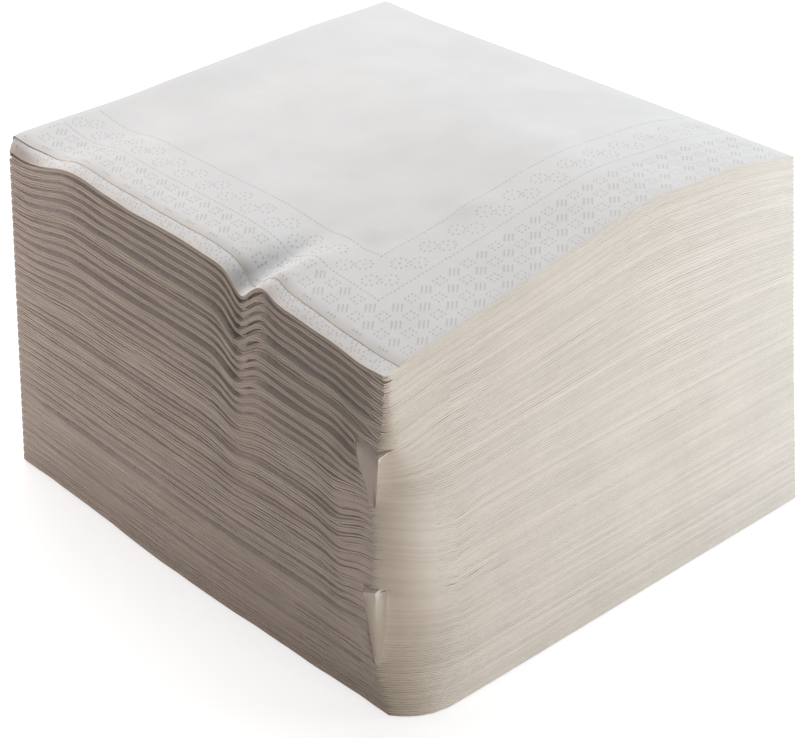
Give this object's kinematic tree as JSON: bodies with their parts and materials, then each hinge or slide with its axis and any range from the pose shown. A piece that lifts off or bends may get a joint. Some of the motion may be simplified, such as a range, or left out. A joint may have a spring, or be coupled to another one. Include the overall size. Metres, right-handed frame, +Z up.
{
  "type": "stack of paper napkins",
  "caption": "Square-cut stack of quarter-folded two-ply paper napkins with embossed borders, lying flat with their free edges at the front.",
  "frame": {"origin": "middle of the stack's footprint, on the surface that it lies on", "axes": "+Z up through the stack, +X towards the free edges opposite the second fold, +Y towards the first fold"},
  "size_m": [0.1666, 0.146, 0.1062],
  "materials": {
    "tissue": "soft matte white two-ply tissue, embossed along its borders"
  },
  "bodies": {
    "root": {"napkin_01": "tissue", "napkin_02": "tissue", "napkin_03": "tissue", "napkin_04": "tissue", "napkin_05": "tissue", "napkin_06": "tissue", "napkin_07": "tissue", "napkin_08": "tissue", "napkin_09": "tissue", "napkin_10": "tissue", "napkin_11": "tissue", "napkin_12": "tissue", "napkin_13": "tissue", "napkin_14": "tissue", "napkin_15": "tissue", "napkin_16": "tissue", "napkin_17": "tissue", "napkin_18": "tissue", "napkin_19": "tissue", "napkin_20": "tissue", "napkin_21": "tissue", "napkin_22": "tissue", "napkin_23": "tissue", "napkin_24": "tissue", "napkin_25": "tissue", "napkin_26": "tissue", "napkin_27": "tissue", "napkin_28": "tissue", "napkin_29": "tissue", "napkin_30": "tissue", "napkin_31": "tissue", "napkin_32": "tissue", "napkin_33": "tissue", "napkin_34": "tissue", "napkin_35": "tissue", "napkin_36": "tissue", "napkin_37": "tissue", "napkin_38": "tissue", "napkin_39": "tissue", "napkin_40": "tissue"}
  },
  "joints": []
}
